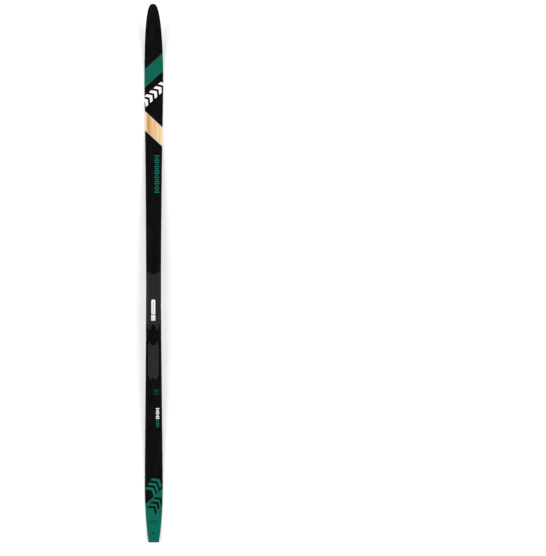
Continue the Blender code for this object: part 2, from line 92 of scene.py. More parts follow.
def copy_of(piece, name):
    """A copy of the piece with its own mesh."""
    take(piece)
    bpy.ops.object.duplicate()
    copy = bpy.context.active_object
    copy.name = copy.data.name = name
    return copy


def even_shading(piece, angle=30):
    """Smooth shading over the piece's round stretches that leaves its flats flat."""
    take(piece)
    bpy.ops.object.shade_smooth_by_angle(angle=math.radians(angle))
    flats = piece.modifiers.new("flats_stay_flat", "WEIGHTED_NORMAL")
    flats.keep_sharp = True
    bpy.ops.object.modifier_apply(modifier=flats.name)


def own_copy(node, name):
    """The shape of a CAD node as one joined, smooth surface with its own mesh."""
    piece = copy_of(frame["nodes"][node], name)
    del piece["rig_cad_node"]
    bpy.ops.mesh.customdata_custom_splitnormals_clear()
    bpy.ops.object.mode_set(mode="EDIT")
    bpy.ops.mesh.select_all(action="SELECT")
    bpy.ops.mesh.remove_doubles(threshold=2e-6)
    bpy.ops.mesh.tris_convert_to_quads(face_threshold=math.radians(12), shape_threshold=math.radians(70))
    bpy.ops.object.mode_set(mode="OBJECT")
    even_shading(piece)
    return piece


def dress(piece, material, slot, *stands_for):
    """Gives a finished piece its material and its body, and hides the CAD nodes that it stands for."""
    piece.data.materials.clear()
    piece.data.materials.append(material)
    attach(piece, "root")
    if stands_for:
        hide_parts(*stands_for)


def colour(red, green, blue):
    """A colour picked on a screen, 0 to 255, as Blender's linear values."""
    def linear(c):
        return ((c / 255 + 0.055) / 1.055) ** 2.4 if c > 10 else c / 255 / 12.92

    return linear(red), linear(green), linear(blue), 1


def link_in(tree, kind, *values, options=None, **named):
    """Adds a shader node; each value is a number, a colour or another node's output."""
    node = tree.nodes.new(kind)
    for option, value in (options or {}).items():
        setattr(node, option, value)
    sockets = list(zip(node.inputs, values))
    sockets += [(node.inputs[key.replace("_", " ")], value) for key, value in named.items()]
    for socket, value in sockets:
        if isinstance(value, bpy.types.NodeSocket):
            tree.links.new(value, socket)
        else:
            socket.default_value = value
    return node


def feed(tree, node, **outputs):
    """Links other nodes' outputs into the named sockets of a shader, or of a group's own end."""
    for key, output in outputs.items():
        tree.links.new(output, node.inputs[key.replace("_", " ")])


def relief(tree, shader, height, strength, distance, invert=False):
    """Gives the surface a fine relief from a height that changes over it."""
    bump = link_in(tree, "ShaderNodeBump", Strength=strength, Distance=distance, Height=height,
                   options={"invert": invert})
    feed(tree, shader, Normal=bump.outputs[0])


def finish_of(name, **sockets):
    """A new material whose plain values sit on the Principled shader's own sockets."""
    material = bpy.data.materials.new(name)
    material.use_nodes = True
    shader = material.node_tree.nodes["Principled BSDF"]
    for key, value in sockets.items():
        shader.inputs[key.replace("_", " ")].default_value = value
    return material, material.node_tree, shader


def effect(name, inputs, outputs):
    """An empty shader node group with named number sockets, and its two ends."""
    group = bpy.data.node_groups.new(name, "ShaderNodeTree")
    for socket, value in inputs.items():
        made = group.interface.new_socket(socket, in_out="INPUT", socket_type="NodeSocketFloat")
        made.default_value = value
    for socket in outputs:
        group.interface.new_socket(socket, in_out="OUTPUT", socket_type="NodeSocketFloat")
    return group, group.nodes.new("NodeGroupInput"), group.nodes.new("NodeGroupOutput")


def apply_effect(tree, group, **values):
    """The outputs of an effect placed in a material with its own values."""
    return link_in(tree, "ShaderNodeGroup", options={"node_tree": group}, **values).outputs


def on_object(tree):
    return link_in(tree, "ShaderNodeTexCoord").outputs["Object"]


def streaked(tree, across, along, detail=3.0, turn=0.0):
    """Noise drawn out along the ski: so many changes per metre across it and along it."""
    turned = link_in(tree, "ShaderNodeMapping", on_object(tree), Rotation=(0, 0, turn)).outputs[0]
    drawn = link_in(tree, "ShaderNodeMapping", turned, Scale=(across, along, across)).outputs[0]
    return link_in(tree, "ShaderNodeTexNoise", drawn, Scale=1.0, Detail=detail).outputs[0]


def spread(tree, value, low, high, to_low=0.0, to_high=1.0):
    """The value stretched from one range to another, smoothly and held at its ends."""
    return link_in(tree, "ShaderNodeMapRange", value, low, high, to_low, to_high,
                   options={"interpolation_type": "SMOOTHSTEP"}).outputs["Result"]


def maths(tree, operation, *values):
    return link_in(tree, "ShaderNodeMath", *values, options={"operation": operation}).outputs[0]


def blended(tree, mask, first, second):
    """The first colour, and the second one where the mask is 1."""
    mix = link_in(tree, "ShaderNodeMix", options={"data_type": "RGBA"})
    for socket, value in ((mix.inputs[0], mask), (mix.inputs[6], first), (mix.inputs[7], second)):
        if isinstance(value, bpy.types.NodeSocket):
            tree.links.new(value, socket)
        else:
            socket.default_value = value
    return mix.outputs[2]


# Rub marks: fine straight scratches in two nearly lengthwise directions, and the haze between them
rub_marks, taken, given = effect("rub_marks", {"Amount": 1.0}, ("Mask",))
first_scratches = spread(rub_marks, streaked(rub_marks, 2600, 14, 2, math.radians(4)), 0.66, 0.74)
second_scratches = spread(rub_marks, streaked(rub_marks, 1900, 20, 2, math.radians(-9)), 0.69, 0.77)
haze = spread(rub_marks, streaked(rub_marks, 46, 9, 4), 0.40, 0.75, 0.0, 0.20)
rubbed = maths(rub_marks, "ADD", maths(rub_marks, "MAXIMUM", first_scratches, second_scratches), haze)
feed(rub_marks, given, Mask=maths(rub_marks, "MULTIPLY", rubbed, taken.outputs["Amount"]))

# Worn edges: where the rounded normal leaves the flat one, broken up so that it isn't one even line
worn_edges, taken, given = effect("worn_edges", {"Radius": 0.0006, "Amount": 1.0}, ("Mask",))
rounded = link_in(worn_edges, "ShaderNodeBevel", taken.outputs["Radius"], options={"samples": 6}).outputs[0]
flat = link_in(worn_edges, "ShaderNodeNewGeometry").outputs["Normal"]
facing = link_in(worn_edges, "ShaderNodeVectorMath", rounded, flat, options={"operation": "DOT_PRODUCT"})
edge = spread(worn_edges, facing.outputs["Value"], 0.985, 0.80)
broken = spread(worn_edges, streaked(worn_edges, 420, 160, 5), 0.38, 0.62, 0.25, 1.0)
worn = maths(worn_edges, "MULTIPLY", edge, broken)
feed(worn_edges, given, Mask=maths(worn_edges, "MULTIPLY", worn, taken.outputs["Amount"]))

ground_base, tree, shader = finish_of("ground_base", Specular_IOR_Level=0.42)
lines = streaked(tree, 1500, 5, 3)
slanted = spread(tree, streaked(tree, 900, 26, 2, math.radians(11)), 0.55, 0.7)
graphite = spread(tree, streaked(tree, 260, 190, 6), 0.35, 0.7)
black = blended(tree, graphite, colour(18, 18, 19), colour(29, 29, 31))
greyed = apply_effect(tree, rub_marks, Amount=0.14)["Mask"]
white_edge = apply_effect(tree, worn_edges, Radius=0.0003, Amount=0.35)["Mask"]
feed(tree, shader,
     Base_Color=blended(tree, maths(tree, "MAXIMUM", greyed, white_edge), black, colour(112, 112, 114)),
     Roughness=spread(tree, lines, 0.3, 0.7, 0.34, 0.55))
structure = maths(tree, "ADD", lines, maths(tree, "MULTIPLY", slanted, 0.6))
relief(tree, shader, structure, strength=0.35, distance=0.00005)

running_base = own_copy("running_base", "running_base_ground")
dress(running_base, ground_base, "base_plastic", "running_base")

# ---------------------------------------------------------------- Kick zone
# Rows of low scales pressed into the base under the binding, so that the ski grips when it is
# pushed back. Each scale is a shallow ramp with a round, steep edge towards the tail.
SCALE_WIDTH, SCALE_LENGTH, SCALE_HEIGHT = 0.0074, 0.0062, 0.00064
RAMP_STEEPNESS = 1.6
ROW_PITCH = 0.0071
COLUMN_PITCH = SCALE_WIDTH * 1.04
COLUMNS_A_SIDE = 2
FIRST_COLUMN_X = 0.0086
KICK_ZONE_START, KICK_ZONE_END = 0.735, 1.235

bpy.ops.object.select_all(action="DESELECT")
bpy.ops.mesh.primitive_cylinder_add(vertices=14, radius=0.5, depth=1, location=(0, 0, 0))
scale = bpy.context.active_object
scale.scale = (SCALE_WIDTH, 2 * SCALE_LENGTH, SCALE_HEIGHT)
bpy.ops.object.transform_apply(location=True, rotation=True, scale=True)
bpy.ops.object.mode_set(mode="EDIT")
bpy.ops.mesh.select_all(action="SELECT")
bpy.ops.mesh.bisect(plane_co=(0, 0, 0), plane_no=(0, 1, 0), use_fill=True, clear_outer=True)
bpy.ops.object.mode_set(mode="OBJECT")
for corner in scale.data.vertices:
    # the ramp: sunk into the base at its straight front edge, at full height before its round one
    if corner.co.z < 0:
        corner.co.z *= min(1.0, -corner.co.y / SCALE_LENGTH * RAMP_STEEPNESS)
scales = []
for row in range(int((KICK_ZONE_END - KICK_ZONE_START) / ROW_PITCH)):
    y = tip_y - KICK_ZONE_START - row * ROW_PITCH
    stagger = (row % 2) * SCALE_WIDTH / 4
    for side in (-1, 1):
        for column in range(COLUMNS_A_SIDE):
            x = side * (FIRST_COLUMN_X + column * COLUMN_PITCH + stagger)
            _, on_base, normal, _ = running_base.ray_cast(Vector((x, y, -0.05)), Vector((0, 0, 1)))
            copy = scale.copy()
            copy.data = scale.data.copy()
            bpy.context.collection.objects.link(copy)
            copy.location = (x, y, on_base.z)
            copy.rotation_euler.x = math.atan2(normal.y, -normal.z)
            scales.append(copy)
bpy.data.objects.remove(scale)
take(scales[0])
for copy in scales:
    copy.select_set(True)
bpy.ops.object.join()
bpy.ops.object.transform_apply(location=True, rotation=True, scale=True)
kick_zone = bpy.context.active_object
kick_zone.name = kick_zone.data.name = "kick_zone_scales"
bpy.ops.object.shade_smooth_by_angle(angle=math.radians(25))
dress(kick_zone, ground_base, "base_plastic")

# ---------------------------------------------------------------- Laminates
# Glass fibre cloth in clear epoxy: one strip over the base, and one with its fibres at 45 degrees
# that wraps the core as the cap. Only their cut edges show, as a greenish line along the side.

# Woven cloth: two sets of threads, each a wave that gains so many radians a metre
woven_cloth, taken, given = effect("woven_cloth", {"Threads": 900.0, "Turn": 0.0}, ("Height", "Thread"))
turn = link_in(woven_cloth, "ShaderNodeCombineXYZ", 0, 0, taken.outputs["Turn"]).outputs[0]
turned = link_in(woven_cloth, "ShaderNodeMapping", on_object(woven_cloth), Rotation=turn).outputs[0]
placed = link_in(woven_cloth, "ShaderNodeSeparateXYZ", turned).outputs
warp, weft = (
    maths(woven_cloth, "SINE", maths(woven_cloth, "MULTIPLY", placed[axis], taken.outputs["Threads"]))
    for axis in ("X", "Y"))
feed(woven_cloth, given,
     Height=spread(woven_cloth, maths(woven_cloth, "MULTIPLY", warp, weft), -1.0, 1.0),
     Thread=spread(woven_cloth, maths(woven_cloth, "ABSOLUTE", warp), 0.05, 0.5))


def glass_cloth(name, resin, fibre, threads, turn):
    """Cured glass cloth: pale threads that show through glossy resin."""
    material, tree, shader = finish_of(name, IOR=1.55)
    cloth = apply_effect(tree, woven_cloth, Threads=threads, Turn=turn)
    cloudy = spread(tree, streaked(tree, 90, 60, 5), 0.3, 0.7, 0.0, 0.5)
    shown = maths(tree, "MAXIMUM", cloth["Thread"], cloudy)
    feed(tree, shader, Base_Color=blended(tree, shown, resin, fibre),
         Roughness=spread(tree, cloudy, 0.0, 0.5, 0.22, 0.42))
    relief(tree, shader, cloth["Height"], strength=0.4, distance=0.00008)
    return material


def dress_cad(node, material):
    """A CAD node that is shown as it is gets its finish in its own material slot."""
    frame["nodes"][node].material_slots[0].material = material


glass_laminate = glass_cloth("glass_laminate_cured", colour(92, 104, 84), colour(168, 174, 150), 2400, 0.0)
cap_fibre = glass_cloth("cap_fibre_cured", colour(84, 92, 78), colour(156, 160, 138), 2000, math.radians(45))
base_laminate = own_copy("base_laminate", "base_laminate_strip")
dress(base_laminate, glass_laminate, "glass_laminate", "base_laminate")
dress_cad("cap_laminate", cap_fibre)

# ---------------------------------------------------------------- Core
# A light block of paper honeycomb between two wooden stringers, with plastic fillers in the thin
# tip and tail. The core is pressed and glued inside the cap, so none of it shows.

# Straight-grained wood: wide soft streaks, and thin dark lines where the pores were cut
wood_grain, taken, given = effect("wood_grain", {"Line Strength": 1.0}, ("Streaks", "Lines"))
wide = maths(wood_grain, "MULTIPLY", streaked(wood_grain, 150, 2.6, 4), 0.62)
narrow = maths(wood_grain, "MULTIPLY", streaked(wood_grain, 620, 5.5, 3), 0.38)
fine_lines = spread(wood_grain, streaked(wood_grain, 2300, 22, 2), 0.58, 0.70)
pored = spread(wood_grain, streaked(wood_grain, 240, 7, 3), 0.36, 0.60)
pores = maths(wood_grain, "MULTIPLY", fine_lines, pored)
feed(wood_grain, given, Streaks=spread(wood_grain, maths(wood_grain, "ADD", wide, narrow), 0.34, 0.66),
     Lines=maths(wood_grain, "MULTIPLY", pores, taken.outputs["Line Strength"]))

stringer_wood, tree, shader = finish_of("stringer_wood_sawn", Roughness=0.62)
grain = apply_effect(tree, wood_grain)
sawn = blended(tree, grain["Streaks"], colour(196, 158, 112), colour(228, 198, 152))
feed(tree, shader, Base_Color=blended(tree, grain["Lines"], sawn, colour(138, 98, 60)))
relief(tree, shader, grain["Lines"], strength=0.5, distance=0.0001)
dress_cad("core_stringer_left", stringer_wood)
dress_cad("core_stringer_right", stringer_wood)

core_honeycomb, tree, shader = finish_of("core_honeycomb_paper", Roughness=0.8)
cells = link_in(tree, "ShaderNodeTexVoronoi", on_object(tree), Scale=160, Randomness=0.15,
                options={"feature": "DISTANCE_TO_EDGE"})
# the cell walls keep the paper's colour and the hollows between them are painted dark, a painted shade in
# each cell that the relief also sinks
cell_hollows_shaded = spread(tree, cells.outputs["Distance"], 0.03, 0.10)
feed(tree, shader, Base_Color=blended(tree, cell_hollows_shaded, colour(172, 142, 96), colour(74, 58, 40)))
relief(tree, shader, cell_hollows_shaded, strength=0.8, distance=0.0008, invert=True)
dress_cad("core_block", core_honeycomb)

# Moulded plastic: the fine sparked texture of a steel mould, with a few flow streaks
moulded_grain, taken, given = effect("moulded_grain", {"Size": 0.0006}, ("Height", "Tone"))
fineness = maths(moulded_grain, "DIVIDE", 1.0, taken.outputs["Size"])
where = on_object(moulded_grain)
sparked = link_in(moulded_grain, "ShaderNodeTexNoise", where, Scale=fineness, Detail=4.0, Roughness=0.62)
pits = link_in(moulded_grain, "ShaderNodeTexVoronoi", where, Scale=fineness).outputs["Distance"]
shallow_pits = maths(moulded_grain, "MULTIPLY", pits, 0.5)
feed(moulded_grain, given, Height=maths(moulded_grain, "ADD", sparked.outputs[0], shallow_pits),
     Tone=spread(moulded_grain, streaked(moulded_grain, 70, 30, 4), 0.35, 0.7))


def moulded_plastic(name, dark, light, grain_size, worn_colour, gloss=(0.44, 0.58), wear=0.6):
    """Grained moulded plastic with slightly rubbed edges."""
    material, tree, shader = finish_of(name, Specular_IOR_Level=0.26)
    grain = apply_effect(tree, moulded_grain, Size=grain_size)
    body = blended(tree, grain["Tone"], dark, light)
    worn = apply_effect(tree, worn_edges, Radius=0.0005, Amount=wear)["Mask"]
    feed(tree, shader, Base_Color=blended(tree, worn, body, worn_colour),
         Roughness=spread(tree, grain["Height"], 0.3, 1.0, *gloss))
    relief(tree, shader, grain["Height"], strength=0.32, distance=0.00006)
    return material


spacer_plastic = moulded_plastic("spacer_plastic_moulded", colour(196, 198, 196), colour(214, 215, 212),
                                 0.0008, colour(230, 230, 228))
dress_cad("tip_spacer", spacer_plastic)
dress_cad("tail_spacer", spacer_plastic)

# ---------------------------------------------------------------- Binding reinforcement
# A sheet of dense fibre laminate under the binding that the plates' glue pulls on. It is bedded on
# the core and hidden by the cap.
reinforcement = glass_cloth("reinforcement_laminate_pressed", colour(70, 62, 44), colour(128, 112, 80),
                            1500, math.radians(30))
dress_cad("binding_reinforcement", reinforcement)

# ---------------------------------------------------------------- Topsheet
# One thin sheet of clear lacquered plastic, printed on its underside and pressed over the cap: black
# with a green band, a wood band and a green tail. The print runs down over the sloped sides.


def facing_up(tree):
    """How far the surface looks up: 1 on a level top, 0 on an upright side."""
    normal = link_in(tree, "ShaderNodeNewGeometry").outputs["Normal"]
    return link_in(tree, "ShaderNodeSeparateXYZ", normal).outputs["Z"]


# Settled dust: thin, patchy, and only on what looks up
settled_dust, taken, given = effect("settled_dust", {"Amount": 1.0}, ("Mask",))
patches = spread(settled_dust, streaked(settled_dust, 30, 14, 6), 0.42, 0.72)
specks = spread(settled_dust, streaked(settled_dust, 1500, 1500, 1), 0.70, 0.78)
held = spread(settled_dust, facing_up(settled_dust), 0.2, 0.9)
lying = maths(settled_dust, "MULTIPLY", maths(settled_dust, "MAXIMUM", patches, specks), held)
feed(settled_dust, given, Mask=maths(settled_dust, "MULTIPLY", lying, taken.outputs["Amount"]))


def lacquered(name, print_colour, rub=0.08, edge_tone=(46, 46, 46)):
    """Print under clear lacquer: faint orange peel, hairline rubs, and a rim in a lighter edge tone, partly
    rubbed wear and partly a painted highlight.
    """
    material, tree, shader = finish_of(name, Specular_IOR_Level=0.0, Coat_Roughness=0.12, Coat_IOR=1.45)
    rubs = apply_effect(tree, rub_marks, Amount=1.0)["Mask"]
    # the rim along the rounded corner is painted in the edge tone: partly rubbed wear, partly a painted
    # highlight
    rim = apply_effect(tree, worn_edges, Radius=0.0009, Amount=0.30)["Mask"]
    dust = apply_effect(tree, settled_dust, Amount=0.012)["Mask"]
    paler = maths(tree, "MAXIMUM", maths(tree, "MULTIPLY", rubs, rub), dust)
    shown = blended(tree, paler, print_colour(tree), colour(120, 120, 118))
    # the lacquer is wiped thin where the sheet was drawn down over the sides
    feed(tree, shader, Base_Color=blended(tree, rim, shown, colour(*edge_tone)),
         Roughness=spread(tree, rubs, 0.0, 1.0, 0.32, 0.52),
         Coat_Weight=spread(tree, facing_up(tree), 0.55, 0.90, 0.03, 0.42))
    peel = maths(tree, "ADD", streaked(tree, 420, 420, 2), maths(tree, "MULTIPLY", rubs, -0.25))
    relief(tree, shader, peel, strength=0.10, distance=0.00008)
    return material


def mottled(first, second, across=55, along=24):
    """A printed field with the slight unevenness of screen ink."""
    return lambda tree: blended(tree, spread(tree, streaked(tree, across, along, 5), 0.3, 0.7), first, second)


def veneer(tree):
    """The printed wood: pale at the sides, with one darker streak left of the middle."""
    grain = apply_effect(tree, wood_grain)
    across = link_in(tree, "ShaderNodeSeparateXYZ", on_object(tree)).outputs["X"]
    wandering = maths(tree, "ADD", across, maths(tree, "MULTIPLY", streaked(tree, 12, 9, 2), 0.010))
    from_streak = maths(tree, "ABSOLUTE", maths(tree, "ADD", wandering, 0.0115))
    darker = spread(tree, from_streak, 0.0125, 0.0015, 0.0, 0.75)
    paler = spread(tree, maths(tree, "ABSOLUTE", across), 0.017, 0.030, 0.0, 0.7)
    tone = maths(tree, "ADD", maths(tree, "MULTIPLY", grain["Streaks"], 0.55), darker)
    tone = maths(tree, "SUBTRACT", tone, maths(tree, "MULTIPLY", paler, 0.5))
    body = blended(tree, spread(tree, tone, 0.0, 0.55), colour(245, 214, 166), colour(226, 182, 130))
    deep = blended(tree, spread(tree, tone, 0.6, 1.25), body, colour(200, 146, 92))
    return blended(tree, maths(tree, "MULTIPLY", grain["Lines"], 0.55), deep, colour(150, 102, 58))


BLACK_PRINT = mottled(colour(11, 10, 10), colour(15, 14, 14))
GREEN_PRINT = mottled(colour(11, 99, 83), colour(15, 104, 88))
black_print = lacquered("black_print", BLACK_PRINT)
green_print = lacquered("green_print", GREEN_PRINT, rub=0.06, edge_tone=(60, 128, 112))
wood_print = lacquered("wood_print", veneer, rub=0.04, edge_tone=(240, 222, 190))

# The slanted edges of the printed fields: their stations left and right, this far from the middle
FIELD_EDGE_X = 0.032
GREEN_BAND_START, GREEN_BAND_END = (0.221, 0.163), (0.284, 0.225)
WOOD_BAND_START, WOOD_BAND_END = (0.363, 0.422), (0.428, 0.487)
GREEN_TAIL_START = (1.7225, 1.661)


def cut_field(sheet, name, start, end):
    """One printed field of the sheet, cut off square through its thickness and closed there."""
    field = copy_of(sheet, name)
    bpy.ops.object.mode_set(mode="EDIT")
    for edge, towards_tip_goes in ((start, True), (end, False)):
        if edge is None:
            continue
        left, right = (Vector((x, tip_y - station, 0))
                       for x, station in zip((-FIELD_EDGE_X, FIELD_EDGE_X), edge))
        towards_tip = (right - left).cross(Vector((0, 0, -1)))
        bpy.ops.mesh.select_all(action="SELECT")
        bpy.ops.mesh.bisect(plane_co=left, plane_no=towards_tip, use_fill=True,
                            clear_outer=towards_tip_goes, clear_inner=not towards_tip_goes)
    bpy.ops.object.mode_set(mode="OBJECT")
    even_shading(field)
    return field


sheet = own_copy("topsheet", "whole_topsheet")
for name, start, end, material in (
    ("topsheet_tip", None, GREEN_BAND_START, black_print),
    ("topsheet_green_band", GREEN_BAND_START, GREEN_BAND_END, green_print),
    ("topsheet_motif_field", GREEN_BAND_END, WOOD_BAND_START, black_print),
    ("topsheet_wood_band", WOOD_BAND_START, WOOD_BAND_END, wood_print),
    ("topsheet_body", WOOD_BAND_END, GREEN_TAIL_START, black_print),
    ("topsheet_tail", GREEN_TAIL_START, None, green_print),
):
    dress(cut_field(sheet, name, start, end), material, "topsheet_print", "topsheet")

# ---------------------------------------------------------------- Printed motifs
# Marks in white, green and black ink under the same lacquer: chevrons that rise to the right at the
# front and the tail, ladders of short bars, and the length in centimetres behind the binding.
INK_THICKNESS = 0.00006
INK_FROM_SHEET_EDGE = 0.00015
STENCIL_HEIGHT = 0.4


def pick(piece, kind, wanted):
    """Selects those of the piece's vertices, edges or faces that are wanted, in edit mode."""
    bpy.ops.object.mode_set(mode="EDIT")
    bpy.ops.mesh.select_mode(type=kind)
    bpy.ops.mesh.select_all(action="DESELECT")
    bpy.ops.object.mode_set(mode="OBJECT")
    mesh = piece.data
    for item in {"VERT": mesh.vertices, "EDGE": mesh.edges, "FACE": mesh.polygons}[kind]:
        item.select = wanted(item)
    bpy.ops.object.mode_set(mode="EDIT")


def ink_layer(piece, name):
    """A thin closed layer of ink over all of the piece that looks up or out."""
    layer = copy_of(piece, name)
    pick(layer, "FACE", lambda face: face.normal.z < 0.05)
    bpy.ops.mesh.delete(type="FACE")
    bpy.ops.object.mode_set(mode="OBJECT")
    raised = layer.modifiers.new("ink", "SOLIDIFY")
    raised.thickness, raised.offset = INK_THICKNESS, 1.0
    bpy.ops.object.modifier_apply(modifier=raised.name)
    return layer


def stood_at(stencil, x, station, turn=0.0):
    """Turns a stencil and stands it up through the sheet at its station."""
    stencil.rotation_euler.z = turn
    stencil.location = (x, tip_y - station, 0)
    bpy.ops.object.transform_apply(location=True, rotation=True, scale=True)
    return stencil


def stencil_bar(x, station, width, length, turn=0.0, corner=0.0006):
    """The outline of a bar, rounded at its corners."""
    bpy.ops.object.select_all(action="DESELECT")
    bpy.ops.mesh.primitive_cube_add(size=1, location=(0, 0, 0))
    bar = bpy.context.active_object
    bar.scale = (width, length, STENCIL_HEIGHT)
    bpy.ops.object.transform_apply(location=False, rotation=False, scale=True)
    heights = [point.co.z for point in bar.data.vertices]
    pick(bar, "EDGE", lambda side: heights[side.vertices[0]] != heights[side.vertices[1]])
    bpy.ops.mesh.bevel(offset=corner, segments=3)
    bpy.ops.object.mode_set(mode="OBJECT")
    return stood_at(bar, x, station, turn)


def stencil_chevron(x, station, height, stroke, reach, turn):
    """The outline of one chevron that points along its turn."""
    bpy.ops.object.select_all(action="DESELECT")
    bpy.ops.mesh.primitive_grid_add(x_subdivisions=1, y_subdivisions=2, size=1,
                                    location=(0, 0, -STENCIL_HEIGHT / 2))
    chevron = bpy.context.active_object
    chevron.scale = (stroke, height, 1)
    bpy.ops.object.transform_apply(location=True, rotation=False, scale=True)
    pick(chevron, "VERT", lambda corner: abs(corner.co.y) < 1e-6)
    bpy.ops.transform.translate(value=(reach, 0, 0))
    bpy.ops.mesh.select_all(action="SELECT")
    bpy.ops.mesh.extrude_region_move(TRANSFORM_OT_translate={"value": (0, 0, STENCIL_HEIGHT)})
    bpy.ops.mesh.select_all(action="SELECT")
    bpy.ops.mesh.normals_make_consistent(inside=False)
    bpy.ops.object.mode_set(mode="OBJECT")
    return stood_at(chevron, x, station, turn)


def stencil_number(text, x, station, size):
    """The outline of a number."""
    bpy.ops.object.select_all(action="DESELECT")
    bpy.ops.object.text_add(location=(0, 0, 0))
    number = bpy.context.active_object
    number.data.body, number.data.size, number.data.extrude = text, size, STENCIL_HEIGHT / 2
    number.data.align_x = number.data.align_y = "CENTER"
    number.data.space_character = 0.9
    bpy.ops.object.convert(target="MESH")
    number = bpy.context.active_object
    bpy.ops.object.mode_set(mode="EDIT")
    bpy.ops.mesh.select_all(action="SELECT")
    bpy.ops.mesh.remove_doubles(threshold=1e-6)
    bpy.ops.mesh.normals_make_consistent(inside=False)
    bpy.ops.object.mode_set(mode="OBJECT")
    return stood_at(number, x, station)


def printed(name, layer, material, slot, stencils):
    """Keeps the layer's ink that lies inside the stencils, as one thin closed patch."""
    take(stencils[0])
    for stencil in stencils:
        stencil.select_set(True)
    if len(stencils) > 1:
        bpy.ops.object.join()
    stencil = bpy.context.active_object
    patch = copy_of(layer, name)
    inside = patch.modifiers.new("inside_stencil", "BOOLEAN")
    inside.operation, inside.solver, inside.object = "INTERSECT", "EXACT", stencil
    bpy.ops.object.modifier_apply(modifier=inside.name)
    bpy.data.objects.remove(stencil)
    even_shading(patch)
    dress(patch, material, slot)


sheet_ink = ink_layer(sheet, "sheet_ink")
bpy.ops.object.mode_set(mode="EDIT")
for side in (-1, 1):
    # the print stops just short of the sheet's cut edge
    bpy.ops.mesh.select_all(action="SELECT")
    bpy.ops.mesh.bisect(plane_co=(side * (cad_high.x - INK_FROM_SHEET_EDGE), 0, 0), plane_no=(side, 0, 0),
                        use_fill=True, clear_outer=True)
bpy.ops.object.mode_set(mode="OBJECT")


def on_sheet(name, material, *stencils):
    """A mark printed on the topsheet."""
    printed(name, sheet_ink, material, "topsheet_print", stencils)


def ladder(x, station, pitch, bar_length, widths):
    """The outlines of a ladder of bars, from the tip back."""
    return [stencil_bar(x, station + step * pitch, width, bar_length) for step, width in enumerate(widths)]


white_ink = lacquered("white_ink", mottled(colour(246, 247, 247), colour(252, 252, 252)), rub=0.03,
                      edge_tone=(250, 250, 250))
green_ink = lacquered("green_ink", mottled(colour(13, 104, 87), colour(17, 110, 93)), rub=0.05,
                      edge_tone=(60, 128, 112))
dim_green_ink = lacquered("dim_green_ink", mottled(colour(14, 74, 64), colour(18, 84, 72)), rub=0.05,
                          edge_tone=(60, 100, 90))
black_ink = lacquered("black_ink", BLACK_PRINT)
cream_ink = lacquered("cream_ink", mottled(colour(238, 212, 170), colour(246, 226, 192)), rub=0.03,
                      edge_tone=(240, 226, 200))
dark_green_ink = lacquered("dark_green_ink", mottled(colour(10, 62, 53), colour(12, 70, 60)), rub=0.05,
                           edge_tone=(40, 80, 70))

# Five chevrons in a row that rises from the left edge to the right one
RISE = math.radians(42)
ROW_MIDDLE, ROW_START, CHEVRON_PITCH = 0.3045, -0.0450, 0.0210
for count in range(5):
    along = ROW_START + count * CHEVRON_PITCH
    x, station = along * math.cos(RISE), ROW_MIDDLE - along * math.sin(RISE)
    on_sheet(f"front_chevron_{count + 1}", white_ink,
             stencil_chevron(x, station, height=0.0300, stroke=0.0116, reach=0.0110, turn=RISE))

# A cream hairline along both edges of the wood band, which falls to the right
FALL = math.atan2(WOOD_BAND_START[1] - WOOD_BAND_START[0], 2 * FIELD_EDGE_X)
for name, edge in (("wood_band_line_front", WOOD_BAND_START), ("wood_band_line_rear", WOOD_BAND_END)):
    hairline = stencil_bar(0, sum(edge) / 2, width=0.12, length=0.0008, turn=-FALL, corner=0.0001)
    on_sheet(name, cream_ink, hairline)

FULL, THREE_QUARTERS, TWO_THIRDS, HALF = 0.0174, 0.0130, 0.0120, 0.0096
on_sheet("front_ladder", green_ink, *ladder(0.0113, 0.5180, pitch=0.0074, bar_length=0.0041, widths=(
    FULL, TWO_THIRDS, FULL, FULL, HALF, FULL, THREE_QUARTERS, FULL, FULL,
    HALF, FULL, TWO_THIRDS, FULL, FULL, HALF, FULL, THREE_QUARTERS, FULL)))

LENGTH_X = 0.0088
on_sheet("length_number", dim_green_ink, stencil_number("185", LENGTH_X, 1.3275, size=0.0157))
on_sheet("length_lines", dim_green_ink, *(
    stencil_bar(LENGTH_X + column * 0.0062, 1.3365 + row * 0.0026, width=0.0050, length=0.0013, corner=0.0002)
    for row in range(2) for column in (-1, 0, 1)))

LONG, SHORT = 0.0114, 0.0080
for name, ink, station, widths in (
    ("rear_ladder_white", white_ink, 1.3880, (LONG, SHORT, LONG, LONG, SHORT, LONG, LONG)),
    ("rear_ladder_green", green_ink, 1.4280, (LONG, SHORT, LONG, LONG, SHORT)),
):
    on_sheet(name, ink, *ladder(0.0140, station, pitch=0.0056, bar_length=0.0034, widths=widths))
on_sheet("edge_mark_right", green_ink, stencil_bar(0.0270, 1.0365, width=0.0060, length=0.0230))
on_sheet("edge_mark_left", green_ink, stencil_bar(-0.0276, 1.1475, width=0.0060, length=0.0190))

# Two groups of three steeper chevrons, green before the slanted edge of the tail and black behind it
STEEP_RISE = math.radians(50)
for tint, ink, first_x, first_station, height in (
    ("green", green_ink, -0.0120, 1.6760, 0.0420),
    ("black", black_ink, -0.0060, 1.7390, 0.0360),
):
    for count in range(3):
        x, station = first_x + count * 0.0100, first_station - count * 0.0150
        on_sheet(f"tail_chevron_{tint}_{count + 1}", ink,
                 stencil_chevron(x, station, height, stroke=0.0096, reach=0.0130, turn=STEEP_RISE))
on_sheet("tail_lines", dark_green_ink, *(
    stencil_bar(x, 1.7752 + row * 0.0046, width, length=0.0020, corner=0.0003)
    for row in range(3) for x, width in ((-0.0105, 0.0080), (0.0002, 0.0100), (0.0112, 0.0080))))
on_sheet("tail_mark", black_ink,
         stencil_chevron(-0.0018, 1.8220, height=0.0100, stroke=0.0032, reach=0.0050, turn=math.radians(90)))
bpy.data.objects.remove(sheet_ink)
bpy.data.objects.remove(sheet)

# ---------------------------------------------------------------- Tail guard
# A thin strip of black plastic across the tail end, moulded and glued on, which takes the knocks
# when the ski is stood on its end.


